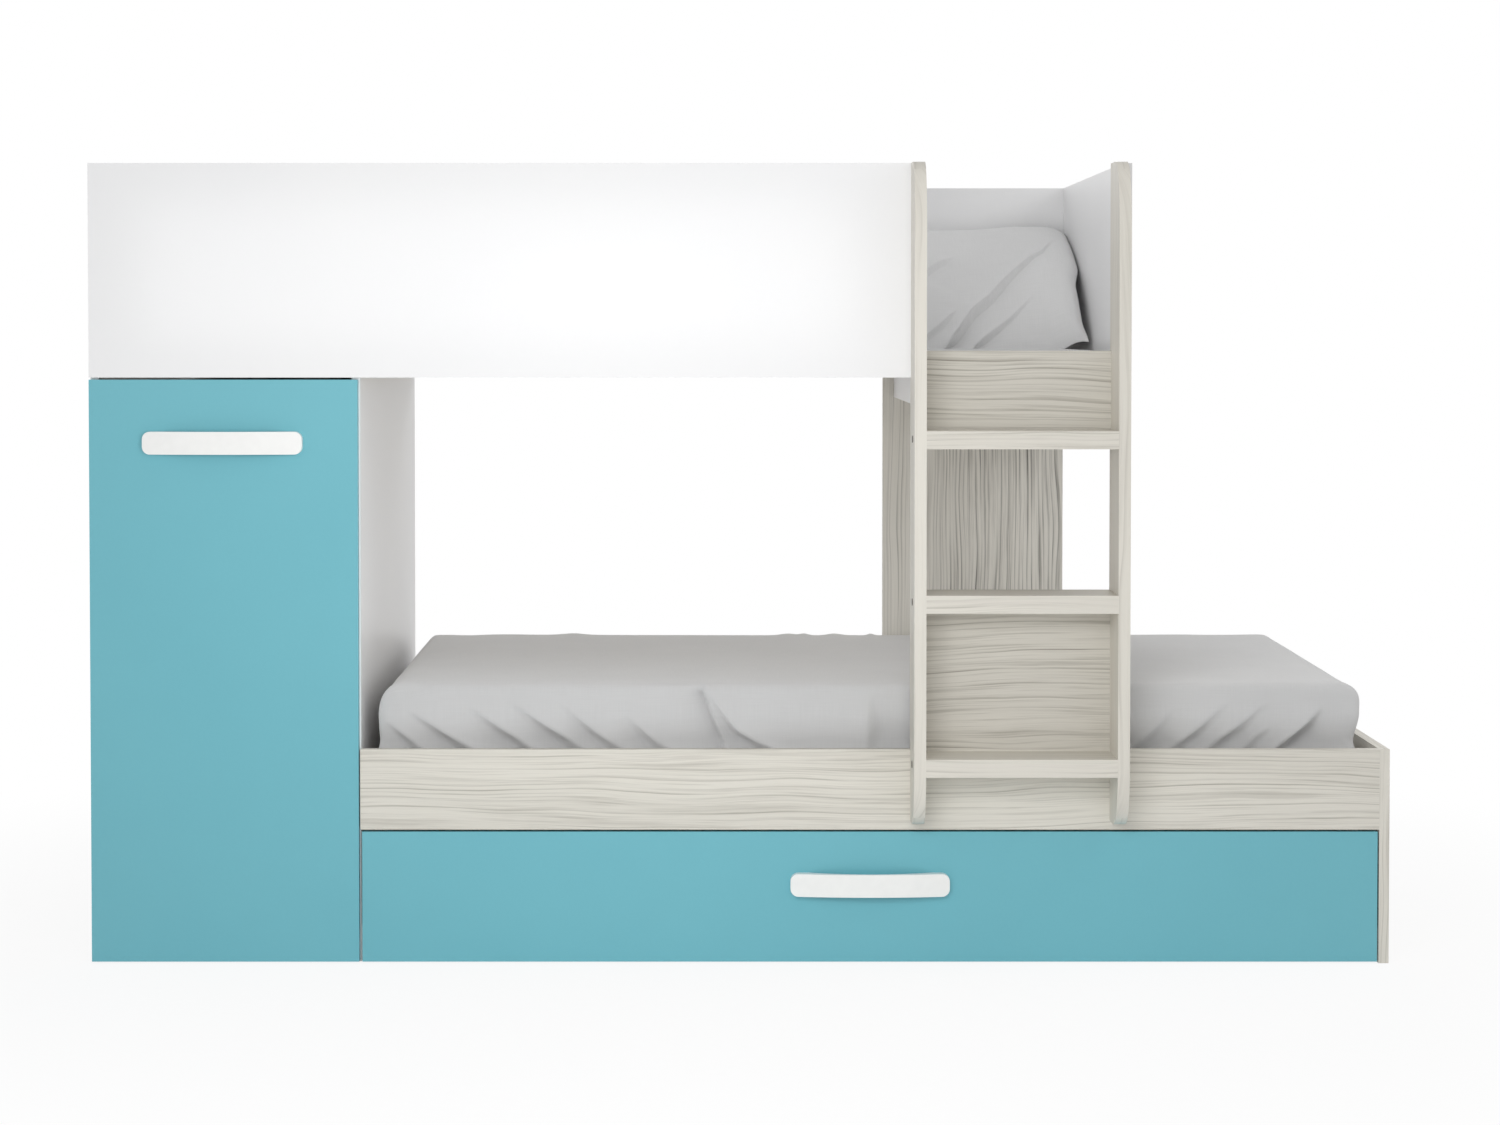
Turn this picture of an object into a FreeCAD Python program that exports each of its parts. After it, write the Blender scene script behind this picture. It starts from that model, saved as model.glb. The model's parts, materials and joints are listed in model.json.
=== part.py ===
"""Train bunk bed: an upper bed over a pull-out wardrobe, an offset lower bed, a trundle bed and a ladder.

Millimetres. +X runs along the bed, +Y to its back, +Z up. The origin is on the floor,
under the middle of the box round the whole bed. Each piece is written to its own STEP file.
"""
import FreeCAD
import Part
import math
import os

from FreeCAD import Vector

# Overall sizes and boards
bed_length = 2435.0
bed_depth = 945.0
bed_height = 1500.0
panel = 16.0
lower_end_thickness = 19.0

# Upper bed
bay_width = 505.0
guard_height = 400.0
upper_rail_height = 146.5
cross_offset = 24.0
cross_height = 58.0

# Lower bed
lower_rail_lift = 252.0
lower_rail_height = 151.0

# Ladder
ladder_start = 1536.0
ladder_width = 396.0
ladder_side = 22.0
ladder_depth = 110.0
ladder_clear = 18.0
step_names = ("lower", "middle", "upper")
step_thickness = 33.0
first_step_height = 400.0
top_step_drop = 96.5
top_round_height = 150.0
top_round_depth = 68.0
bottom_round_height = 120.0
bottom_round_depth = 75.0

# Slats, battens and steel angles
slat_width = 70.0
slat_count = 14
slat_end_gap = 2.0
wood_slat_thickness = 12.0
upper_slat_thickness = 10.0
batten_width = 25.0
batten_height = 30.0
batten_drop = 68.0
angle_leg = 22.0
angle_wall = 2.0
corner_angle_leg = 40.0
corner_angle_wall = 3.0
corner_angle_height = 45.0

# Mattresses and pillow
soft_gap = 0.3
lower_mattress_height = 172.0
lower_mattress_left_gap = 10.0
lower_mattress_right_gap = 21.0
lower_mattress_back_gap = 19.0
upper_mattress_height = 38.0
upper_mattress_left_gap = 12.0
upper_mattress_right_gap = 4.0
upper_mattress_back_gap = 9.0
mattress_front_gap = 4.0
mattress_corner = 60.0
mattress_dip = 4.0
pillow_length = 650.0
pillow_width = 560.0
pillow_thickness = 140.0
pillow_corner = 36.0
pillow_dip = 12.0
pillow_end_gap = 6.0
pillow_tilt_deg = 24.0

# Height shares of a mattress section, each with the share of the corner that it is drawn in by
mattress_level_shares = (0.0, 0.1, 0.3, 0.6, 0.82, 0.94, 1.0)
mattress_inset_shares = (0.42, 0.14, 0.02, 0.0, 0.1, 0.4, 1.3)
# Thickness shares of a pillow section, each with the share of its size that is left there
pillow_level_shares = (-0.5, -0.42, -0.2, 0.0, 0.2, 0.42, 0.5)
pillow_size_shares = (0.3, 0.62, 0.92, 1.0, 0.92, 0.62, 0.3)

# Fronts and the clearances of what pulls out
reveal = 3.0
floor_gap = 3.0
front_gap = 0.3
top_gap = 4.0

# Trundle bed
trundle_stop_gap = 0.3
trundle_side_gap = 4.0
trundle_wall_drop = 23.0
base_rail_width = 60.0
base_rail_thickness = 22.0
trundle_castor_inset = 90.0

# Wardrobe cabinet
cabinet_side_gap = 4.0
cabinet_rear_gap = 4.0
cabinet_top_gap = 15.0
partition_share = 0.55
shelf_height_shares = (0.25, 0.5, 0.75)
shelf_names = ("lower", "middle", "upper")
hanger_drop = 80.0
hanger_radius = 12.5
hanger_wall = 1.5
socket_radius = 19.0
socket_depth = 14.0
socket_floor = 3.0
cabinet_castor_inset = 70.0

# Castors
castor_height = 60.0
wheel_radius = 25.0
wheel_width = 18.0
wheel_edge = 3.0
wheel_hub_radius = 8.0
wheel_rim = 5.0
wheel_recess = 4.0
wheel_hole_radius = 3.0
wheel_hole_count = 5
wheel_side_gap = 1.0
axle_radius = 3.0
axle_overhang = 1.5
bore_clearance = 0.05
fork_wall = 2.5
fork_plate_length = 54.0
fork_ear_width = 24.0
fork_ear_reach = 8.0

# Handles
handle_length = 298.0
handle_height = 42.5
handle_corner = 14.5
handle_reach = 26.0
handle_thickness = 6.0
handle_end = 15.0
handle_foot = 34.0
wardrobe_handle_drop = 118.0
trundle_handle_drop = 98.0

# Fasteners
dowel_radius = 4.0
dowel_edge_depth = 20.0
dowel_face_depth = 10.0
step_screw_radius = 2.5
step_screw_bite = 38.0
step_screw_head_radius = 5.0
step_screw_head_depth = 5.0
cap_radius = 6.5
cap_thickness = 1.2
handle_screw_radius = 2.0
handle_screw_bite = 8.0
handle_screw_head_radius = 4.0
handle_screw_head_depth = 2.5
two_dowel_shares = (0.22, 0.78)
three_dowel_shares = (0.15, 0.5, 0.85)

# Planes that the pieces share
x_left = -bed_length / 2
x_right = bed_length / 2
y_front = (ladder_depth - bed_depth) / 2
y_back = y_front + bed_depth
y_ladder = y_front - ladder_depth
y_inner = y_front + panel
y_back_inner = y_back - panel
upper_bottom = bed_height - guard_height
bay_left_inner = x_left + panel
bay_right = x_left + bay_width
bay_right_inner = bay_right - panel
ladder_left = x_left + ladder_start
ladder_right = ladder_left + ladder_width
ladder_left_inner = ladder_left + ladder_side
ladder_right_inner = ladder_right - ladder_side
lower_end_inner = x_right - lower_end_thickness
lower_rail_top = lower_rail_lift + lower_rail_height
top_step_height = upper_bottom - top_step_drop
step_rise = (top_step_height - first_step_height) / (len(step_names) - 1)
step_tops = [first_step_height + step_rise * i for i in range(len(step_names))]
upper_rail_top = top_step_height + upper_rail_height
slat_angle_top = upper_bottom + angle_wall
batten_top = lower_rail_top - batten_drop

EAST = Vector(1, 0, 0)
WEST = Vector(-1, 0, 0)
NORTH = Vector(0, 1, 0)
SOUTH = Vector(0, -1, 0)
UP = Vector(0, 0, 1)
DOWN = Vector(0, 0, -1)


def block(x0, x1, y0, y1, z0, z1):
    """A board between two opposite corners."""
    return Part.makeBox(x1 - x0, y1 - y0, z1 - z0, Vector(x0, y0, z0))


def rod(start, direction, radius, length):
    """A round bar that starts at a point and runs along a unit direction."""
    return Part.makeCylinder(radius, length, start, direction)


def line(a, b):
    return Part.LineSegment(a, b).toShape()


def arc(a, b, c):
    return Part.Arc(a, b, c).toShape()


def bend(a, corner, b):
    """A smooth round of a corner, tangent to both of its sides."""
    curve = Part.BezierCurve()
    curve.setPoles([a, corner, b])
    return curve.toShape()


def spread(start, end, shares):
    """Places at shares of the way from start to end."""
    return [start + (end - start) * share for share in shares]


def dowel(x, y, z, into):
    """A dowel across a joint, deep in the board behind the point and shallow in the one ahead."""
    length = dowel_edge_depth + dowel_face_depth
    return rod(Vector(x, y, z) - into * dowel_edge_depth, into, dowel_radius, length)


def drill(boards, pins):
    """Cuts each pin's own shape out of the boards that it passes through."""
    for name, shape in boards.items():
        hits = [pin for pin in pins if pin.BoundBox.intersect(shape.BoundBox)]
        if hits:
            boards[name] = shape.cut(hits)


def slats(x0, x1, y0, y1, z, thickness):
    """A row of cross slats, evenly spread along X."""
    pitch = (x1 - x0) / slat_count
    lead = (pitch - slat_width) / 2
    starts = [x0 + lead + pitch * i for i in range(slat_count)]
    return [block(x, x + slat_width, y0, y1, z, z + thickness) for x in starts]


def cushion_wire(half_x, half_y, corner, dip, z):
    """A rectangle with round corners and sides that are drawn in between them."""
    a = half_x - corner
    b = half_y - corner
    cut = corner * (1 - math.cos(math.pi / 4))
    edges = []
    for i in range(4):
        turn = FreeCAD.Rotation(UP, 90 * i)
        run, reach = (a, half_y) if i % 2 == 0 else (b, half_x)
        start = Vector(-run, -reach, z)
        middle = Vector(0, dip - reach, z)
        end = Vector(run, -reach, z)
        round_middle = Vector(run + corner - cut, cut - reach, z)
        round_end = Vector(run + corner, corner - reach, z)
        edges.append(arc(*[turn.multVec(p) for p in (start, middle, end)]))
        edges.append(arc(*[turn.multVec(p) for p in (end, round_middle, round_end)]))
    return Part.Wire(edges)


def mattress(x0, x1, y0, y1, z, height):
    """A crowned mattress that fills a rectangle, with its underside at z."""
    length = x1 - x0
    width = y1 - y0
    wires = []
    for level, inset in zip(mattress_level_shares, mattress_inset_shares):
        draw = inset * mattress_corner
        half_x = length / 2 - draw
        half_y = width / 2 - draw
        wires.append(cushion_wire(half_x, half_y, mattress_corner, mattress_dip, height * level))
    solid = Part.makeLoft(wires, True, True)
    solid.translate(Vector((x0 + x1) / 2, (y0 + y1) / 2, z))
    return solid


def pillow_solid():
    """A crowned pillow with drawn-in sides, lying flat about the origin."""
    wires = []
    for level, size in zip(pillow_level_shares, pillow_size_shares):
        half_x = pillow_length / 2 * size
        half_y = pillow_width / 2 * size
        z = pillow_thickness * level
        wires.append(cushion_wire(half_x, half_y, pillow_corner * size, pillow_dip * size, z))
    return Part.makeLoft(wires, True, True)


def ladder_cheek(x0):
    """A ladder side, notched over the lower rail, with round front corners."""
    z0 = lower_rail_lift + ladder_clear
    z1 = bed_height
    points = [
        Vector(x0, y_front, z0),
        Vector(x0, y_front, lower_rail_top),
        Vector(x0, y_inner, lower_rail_top),
        Vector(x0, y_inner, z1),
        Vector(x0, y_ladder + top_round_depth, z1),
    ]
    edges = [line(a, b) for a, b in zip(points, points[1:])]
    top_end = Vector(x0, y_ladder, z1 - top_round_height)
    bottom_start = Vector(x0, y_ladder, z0 + bottom_round_height)
    bottom_end = Vector(x0, y_ladder + bottom_round_depth, z0)
    edges.append(bend(points[-1], Vector(x0, y_ladder, z1), top_end))
    edges.append(line(top_end, bottom_start))
    edges.append(bend(bottom_start, Vector(x0, y_ladder, z0), bottom_end))
    edges.append(line(bottom_end, points[0]))
    return Part.Face(Part.Wire(edges)).extrude(EAST * ladder_side)


def angle_bar(corner, along, first, second, leg, wall, length):
    """An L-shaped steel bar: its corner edge runs along one way and its legs point two others."""
    outline = [
        corner,
        corner + first * leg,
        corner + first * leg + second * wall,
        corner + first * wall + second * wall,
        corner + first * wall + second * leg,
        corner + second * leg,
        corner,
    ]
    return Part.Face(Part.makePolygon(outline)).extrude(along * length)


def handle(x, y, z):
    """A flat bow handle that stands on the face at y, centred on x and z."""
    half = handle_length / 2
    z0 = z - handle_height / 2
    left = Vector(x - half, y, z0)
    right = Vector(x + half, y, z0)
    left_tip = left + SOUTH * handle_end
    right_tip = right + SOUTH * handle_end
    crest = Vector(x, y - handle_reach, z0)
    left_foot = left + EAST * handle_foot
    right_foot = right + WEST * handle_foot
    hollow = Vector(x, y - handle_reach + handle_thickness, z0)
    wire = Part.Wire([
        line(left, left_tip),
        arc(left_tip, crest, right_tip),
        line(right_tip, right),
        line(right, right_foot),
        arc(right_foot, hollow, left_foot),
        line(left_foot, left),
    ])
    bow = Part.Face(wire).extrude(UP * handle_height)
    corners = [e for e in bow.Edges if e.BoundBox.YLength > e.BoundBox.XLength + e.BoundBox.ZLength]
    return bow.makeFillet(handle_corner, corners)


def handle_screws(x, y_outer, y_inside, z):
    """Two screws from inside a front into the feet of its handle."""
    half = handle_length / 2 - handle_foot / 2
    made = []
    for place in (x - half, x + half):
        start = Vector(place, y_inside, z)
        shank = rod(start, SOUTH, handle_screw_radius, y_inside - y_outer + handle_screw_bite)
        head = rod(start, NORTH, handle_screw_head_radius, handle_screw_head_depth)
        made.append(shank.fuse(head).removeSplitter())
    return made


def castor_fork(x, y):
    """A bent steel fork, screwed under a board by its plate."""
    inner = wheel_width / 2 + wheel_side_gap
    outer = inner + fork_wall
    plate_bottom = castor_height - fork_wall
    ear_bottom = wheel_radius - fork_ear_reach
    half_plate = fork_plate_length / 2
    half_ear = fork_ear_width / 2
    plate = block(x - outer, x + outer, y - half_plate, y + half_plate, plate_bottom, castor_height)
    left = block(x - outer, x - inner, y - half_ear, y + half_ear, ear_bottom, plate_bottom)
    right = block(x + inner, x + outer, y - half_ear, y + half_ear, ear_bottom, plate_bottom)
    return plate.fuse([left, right]).removeSplitter()


def castor_axle(x, y):
    half = wheel_width / 2 + wheel_side_gap + fork_wall + axle_overhang
    return rod(Vector(x - half, y, wheel_radius), EAST, axle_radius, 2 * half)


def castor_wheel(x, y):
    """A wheel with a recessed web, turned about its axle."""
    half = wheel_width / 2
    bore = axle_radius + bore_clearance
    rim = wheel_radius - wheel_rim
    web = half - wheel_recess
    profile = [
        (bore, -half), (wheel_hub_radius, -half), (wheel_hub_radius, -web), (rim, -web), (rim, -half),
        (wheel_radius - wheel_edge, -half), (wheel_radius, wheel_edge - half),
        (wheel_radius, half - wheel_edge), (wheel_radius - wheel_edge, half),
        (rim, half), (rim, web), (wheel_hub_radius, web), (wheel_hub_radius, half), (bore, half),
        (bore, -half),
    ]
    points = [Vector(x + along, y, wheel_radius + out) for out, along in profile]
    axis = Vector(x, y, wheel_radius)
    wheel = Part.Face(Part.makePolygon(points)).revolve(axis, EAST, 360)
    pitch_radius = (wheel_hub_radius + rim) / 2
    holes = []
    for i in range(wheel_hole_count):
        turn = 2 * math.pi * i / wheel_hole_count
        out = Vector(0, math.cos(turn), math.sin(turn)) * pitch_radius
        holes.append(rod(axis + out + WEST * half, EAST, wheel_hole_radius, wheel_width))
    return wheel.cut(holes)


def castors(rows_x, row_y):
    """Forks, axles and wheels of one row of castors across the bed."""
    axles = [castor_axle(x, row_y) for x in rows_x]
    forks = [castor_fork(x, row_y).cut(axle) for x, axle in zip(rows_x, axles)]
    wheels = [castor_wheel(x, row_y) for x in rows_x]
    return forks, axles, wheels


def frame_boards():
    """The boards of the fixed bed, before drilling."""
    boards = {
        "left_end_panel": block(x_left, bay_left_inner, y_inner, y_back, 0, bed_height),
        "bay_side_panel": block(bay_right_inner, bay_right, y_inner, y_back, 0, upper_bottom),
        "bay_back_panel": block(bay_left_inner, bay_right_inner, y_back_inner, y_back, 0, upper_bottom),
        "guard_panel": block(x_left, ladder_left, y_front, y_inner, upper_bottom, bed_height),
        "upper_back_panel": block(
            bay_left_inner, ladder_right, y_back_inner, y_back, upper_bottom, bed_height),
        "upper_end_panel": block(
            ladder_right, ladder_right + panel, y_front, y_back, top_step_height, bed_height),
        "upper_front_rail": block(
            ladder_left_inner, ladder_right_inner, y_front, y_inner, top_step_height, upper_rail_top),
        "cross_member": block(
            ladder_left + cross_offset, ladder_left + cross_offset + panel, y_inner, y_back_inner,
            upper_bottom - cross_height, upper_bottom),
        "back_support_panel": block(ladder_left, ladder_right, y_back_inner, y_back, 0, upper_bottom),
        "ladder_left_side": ladder_cheek(ladder_left),
        "ladder_right_side": ladder_cheek(ladder_right_inner),
        "ladder_back_board": block(
            ladder_left_inner, ladder_right_inner, y_front, y_inner, lower_rail_top, step_tops[1]),
        "lower_front_rail": block(
            bay_right, lower_end_inner, y_front, y_inner, lower_rail_lift, lower_rail_top),
        "lower_end_panel": block(lower_end_inner, x_right, y_front, y_back, 0, lower_rail_top),
        "lower_back_rail_left": block(
            bay_right, ladder_left, y_back_inner, y_back, lower_rail_lift, lower_rail_top),
        "lower_back_rail_right": block(
            ladder_right, lower_end_inner, y_back_inner, y_back, lower_rail_lift, lower_rail_top),
    }
    for name, top in zip(step_names, step_tops):
        boards["ladder_step_" + name] = block(
            ladder_left_inner, ladder_right_inner, y_ladder, y_front, top - step_thickness, top)
    return boards


def frame_dowels():
    """The dowels at every butt joint of the fixed bed."""
    y_front_mid = y_front + panel / 2
    y_back_mid = y_back - panel / 2
    x_end_mid = x_left + panel / 2
    made = []
    for z in spread(upper_bottom, bed_height, three_dowel_shares):
        made.append(dowel(ladder_left, y_front_mid, z, EAST))
        made.append(dowel(x_end_mid, y_inner, z, SOUTH))
        made.append(dowel(ladder_right, y_back_mid, z, EAST))
        made.append(dowel(bay_left_inner, y_back_mid, z, WEST))
    for z in spread(upper_rail_top, bed_height, two_dowel_shares):
        made.append(dowel(ladder_right, y_front_mid, z, EAST))
    between_sides = spread(top_step_height, upper_rail_top, two_dowel_shares)
    between_sides += spread(lower_rail_top, step_tops[1], two_dowel_shares)
    for z in between_sides:
        made.append(dowel(ladder_left_inner, y_front_mid, z, WEST))
        made.append(dowel(ladder_right_inner, y_front_mid, z, EAST))
    for top in step_tops:
        for y in spread(y_ladder, y_front, two_dowel_shares):
            made.append(dowel(ladder_left_inner, y, top - step_thickness / 2, WEST))
            made.append(dowel(ladder_right_inner, y, top - step_thickness / 2, EAST))
    made.append(dowel(ladder_right, y_back_mid, (top_step_height + upper_bottom) / 2, EAST))
    for x in spread(ladder_left, ladder_right, two_dowel_shares):
        made.append(dowel(x, y_back_mid, upper_bottom, DOWN))
    for x in spread(bay_left_inner, bay_right_inner, two_dowel_shares):
        made.append(dowel(x, y_back_mid, upper_bottom, DOWN))
    for z in spread(0, upper_bottom, three_dowel_shares):
        made.append(dowel(bay_left_inner, y_back_mid, z, WEST))
        made.append(dowel(bay_right_inner, y_back_mid, z, EAST))
    for z in spread(lower_rail_lift, lower_rail_top, two_dowel_shares):
        made.append(dowel(lower_end_inner, y_front_mid, z, EAST))
        made.append(dowel(lower_end_inner, y_back_mid, z, EAST))
        made.append(dowel(bay_right, y_back_mid, z, WEST))
        made.append(dowel(ladder_left, y_back_mid, z, EAST))
        made.append(dowel(ladder_right, y_back_mid, z, WEST))
    for z in spread(lower_rail_lift + ladder_clear, lower_rail_top, two_dowel_shares):
        made.append(dowel(ladder_left + ladder_side / 2, y_front, z, NORTH))
        made.append(dowel(ladder_right - ladder_side / 2, y_front, z, NORTH))
    cross_x = ladder_left + cross_offset + panel / 2
    cross_z = upper_bottom - cross_height / 2
    made.append(dowel(cross_x, y_inner, cross_z, SOUTH))
    made.append(dowel(cross_x, y_back_inner, cross_z, NORTH))
    return made


def step_fasteners():
    """One screw and one cover cap for each end of each ladder step."""
    screws = []
    caps = []
    y = (y_ladder + y_front) / 2
    for top in step_tops:
        z = top - step_thickness / 2
        for face, inward in ((ladder_left, EAST), (ladder_right, WEST)):
            start = Vector(face, y, z)
            shank = rod(start, inward, step_screw_radius, ladder_side + step_screw_bite)
            head = rod(start, inward, step_screw_head_radius, step_screw_head_depth)
            screws.append(shank.fuse(head).removeSplitter())
            caps.append(rod(start, inward * -1, cap_radius, cap_thickness))
    return screws, caps


def bed_base():
    """Battens, slats and steel angles that carry the two mattresses."""
    batten_bottom = batten_top - batten_height
    battens = [block(bay_right, lower_end_inner, y, y + batten_width, batten_bottom, batten_top)
               for y in (y_inner, y_back_inner - batten_width)]
    lower = slats(bay_right, lower_end_inner, y_inner + slat_end_gap, y_back_inner - slat_end_gap,
                  batten_top, wood_slat_thickness)
    upper = slats(bay_left_inner, ladder_right, y_inner + angle_wall + slat_end_gap,
                  y_back_inner - angle_wall - slat_end_gap, slat_angle_top, upper_slat_thickness)
    upper_run = ladder_right - bay_left_inner
    front_corner = Vector(bay_left_inner, y_inner, upper_bottom)
    back_corner = Vector(bay_left_inner, y_back_inner, upper_bottom)
    rail_corner = Vector(bay_right, y_inner, batten_bottom)
    angles = [
        angle_bar(front_corner, EAST, NORTH, UP, angle_leg, angle_wall, upper_run),
        angle_bar(back_corner, EAST, SOUTH, UP, angle_leg, angle_wall, upper_run),
        angle_bar(rail_corner, DOWN, EAST, NORTH,
                  corner_angle_leg, corner_angle_wall, corner_angle_height),
    ]
    return battens, lower, upper, angles


def bedding():
    """The two mattresses and the pillow, each just clear of what it lies on."""
    front = y_inner + mattress_front_gap
    lower_floor = batten_top + wood_slat_thickness + soft_gap
    lower = mattress(bay_right + lower_mattress_left_gap, lower_end_inner - lower_mattress_right_gap,
                     front, y_back_inner - lower_mattress_back_gap, lower_floor, lower_mattress_height)
    upper_floor = slat_angle_top + upper_slat_thickness + soft_gap
    upper = mattress(bay_left_inner + upper_mattress_left_gap, ladder_right - upper_mattress_right_gap,
                     front, y_back_inner - upper_mattress_back_gap, upper_floor, upper_mattress_height)
    pillow = pillow_solid()
    pillow.rotate(Vector(0, 0, 0), EAST, pillow_tilt_deg)
    box = pillow.optimalBoundingBox(True, False)
    pillow.translate(Vector(
        ladder_right - pillow_end_gap - box.XMax,
        y_back_inner - soft_gap - box.YMax,
        upper_floor + upper_mattress_height + soft_gap - box.ZMin))
    return lower, upper, pillow


def trundle():
    """The trundle bed: a box on castors with a slatted base."""
    x0 = bay_right + reveal + trundle_side_gap
    x1 = lower_end_inner - reveal - trundle_side_gap
    y1 = y_back_inner - trundle_stop_gap
    top = lower_rail_lift - top_gap
    wall_top = top - trundle_wall_drop
    in_left = x0 + panel
    in_right = x1 - panel
    back = y1 - panel
    rail_top = castor_height + base_rail_thickness
    boards = {
        "trundle_front": block(
            bay_right + reveal, lower_end_inner - reveal, y_front, y_inner, floor_gap, top),
        "trundle_left_side": block(x0, in_left, y_inner, y1, castor_height, wall_top),
        "trundle_right_side": block(in_right, x1, y_inner, y1, castor_height, wall_top),
        "trundle_back": block(in_left, in_right, back, y1, castor_height, wall_top),
    }
    rails = {
        "front": block(in_left, in_right, y_inner, y_inner + base_rail_width, castor_height, rail_top),
        "rear": block(in_left, in_right, back - base_rail_width, back, castor_height, rail_top),
    }
    pins = []
    for z in spread(castor_height, wall_top, two_dowel_shares):
        pins.append(dowel(x0 + panel / 2, y_inner, z, SOUTH))
        pins.append(dowel(x1 - panel / 2, y_inner, z, SOUTH))
        pins.append(dowel(in_left, back + panel / 2, z, WEST))
        pins.append(dowel(in_right, back + panel / 2, z, EAST))
    for y0 in (y_inner, back - base_rail_width):
        for y in spread(y0, y0 + base_rail_width, two_dowel_shares):
            pins.append(dowel(in_left, y, castor_height + base_rail_thickness / 2, WEST))
            pins.append(dowel(in_right, y, castor_height + base_rail_thickness / 2, EAST))
    middle = (x0 + x1) / 2
    handle_z = top - trundle_handle_drop
    screws = handle_screws(middle, y_front, y_inner, handle_z)
    boards["trundle_handle"] = handle(middle, y_front, handle_z)
    drill(boards, pins + screws)
    drill(rails, pins)
    rows_x = (in_left + trundle_castor_inset, middle, in_right - trundle_castor_inset)
    forks, axles, front_wheels = castors(rows_x, y_inner + base_rail_width / 2)
    rear_forks, rear_axles, rear_wheels = castors(rows_x, back - base_rail_width / 2)
    slat_row = slats(in_left, in_right, y_inner + slat_end_gap, back - slat_end_gap,
                     rail_top, wood_slat_thickness)
    groups = {
        "trundle_base_rails": list(rails.values()),
        "trundle_slats": slat_row,
        "trundle_dowels": pins,
        "trundle_handle_screws": screws,
        "trundle_castor_forks": forks + rear_forks,
        "trundle_castor_axles": axles + rear_axles,
        "trundle_front_wheels": front_wheels,
        "trundle_rear_wheels": rear_wheels,
    }
    return boards, groups


def wardrobe():
    """The pull-out wardrobe: a front with a cabinet behind it that is open to the right, on castors."""
    x0 = bay_left_inner + cabinet_side_gap
    x1 = bay_right_inner - cabinet_side_gap
    in_left = x0 + panel
    front_outer = y_front - front_gap
    y0 = front_outer + panel
    y1 = y_back_inner - cabinet_rear_gap
    back = y1 - panel
    z0 = castor_height
    z1 = upper_bottom - cabinet_top_gap
    floor = z0 + panel
    ceiling = z1 - panel
    split = y0 + (back - y0) * partition_share
    front_top = upper_bottom - top_gap
    boards = {
        "wardrobe_front": block(x_left, bay_right - reveal, front_outer, y0, floor_gap, front_top),
        "wardrobe_side": block(x0, in_left, y0, y1, z0, z1),
        "wardrobe_base": block(in_left, x1, y0, back, z0, floor),
        "wardrobe_top": block(in_left, x1, y0, back, ceiling, z1),
        "wardrobe_rear": block(in_left, x1, back, y1, z0, z1),
        "wardrobe_partition": block(in_left, x1, split, split + panel, floor, ceiling),
    }
    pins = []
    for name, z in zip(shelf_names, spread(floor, ceiling, shelf_height_shares)):
        boards["wardrobe_shelf_" + name] = block(
            in_left, x1, split + panel, back, z - panel / 2, z + panel / 2)
        for y in spread(split + panel, back, two_dowel_shares):
            pins.append(dowel(in_left, y, z, WEST))
    for z in (z0 + panel / 2, z1 - panel / 2):
        for x in spread(in_left, x1, two_dowel_shares):
            pins.append(dowel(x, y0, z, SOUTH))
            pins.append(dowel(x, back, z, NORTH))
        for y in spread(y0, back, two_dowel_shares):
            pins.append(dowel(in_left, y, z, WEST))
    for z in spread(z0, z1, three_dowel_shares):
        pins.append(dowel(x0 + panel / 2, y0, z, SOUTH))
        pins.append(dowel(in_left, back + panel / 2, z, WEST))
        pins.append(dowel(in_left, split + panel / 2, z, WEST))
    middle = (x_left + bay_right - reveal) / 2
    handle_z = front_top - wardrobe_handle_drop
    screws = handle_screws(middle, front_outer, y0, handle_z)
    boards["wardrobe_handle"] = handle(middle, front_outer, handle_z)
    drill(boards, pins + screws)
    hanger, sockets = hanging_rail((in_left + x1) / 2, y0, split, ceiling - hanger_drop)
    rows_x = (x0 + cabinet_castor_inset, x1 - cabinet_castor_inset)
    forks, axles, front_wheels = castors(rows_x, y0 + cabinet_castor_inset)
    rear_forks, rear_axles, rear_wheels = castors(rows_x, y1 - cabinet_castor_inset)
    groups = {
        "wardrobe_dowels": pins,
        "wardrobe_handle_screws": screws,
        "wardrobe_hanging_rail": [hanger],
        "wardrobe_rail_sockets": sockets,
        "wardrobe_castor_forks": forks + rear_forks,
        "wardrobe_castor_axles": axles + rear_axles,
        "wardrobe_front_wheels": front_wheels,
        "wardrobe_rear_wheels": rear_wheels,
    }
    return boards, groups


def hanging_rail(x, y0, y1, z):
    """A hanging tube between two cup sockets, from the front's inside to the partition."""
    start = Vector(x, y0 + socket_floor, z)
    length = y1 - y0 - 2 * socket_floor
    inside = rod(start, NORTH, hanger_radius - hanger_wall, length)
    tube = rod(start, NORTH, hanger_radius, length).cut(inside)
    sockets = []
    for base, inward in ((Vector(x, y0, z), NORTH), (Vector(x, y1, z), SOUTH)):
        cup = rod(base, inward, socket_radius, socket_depth)
        bore = rod(base + inward * socket_floor, inward, hanger_radius, socket_depth - socket_floor)
        sockets.append(cup.cut(bore))
    return tube, sockets


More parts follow.
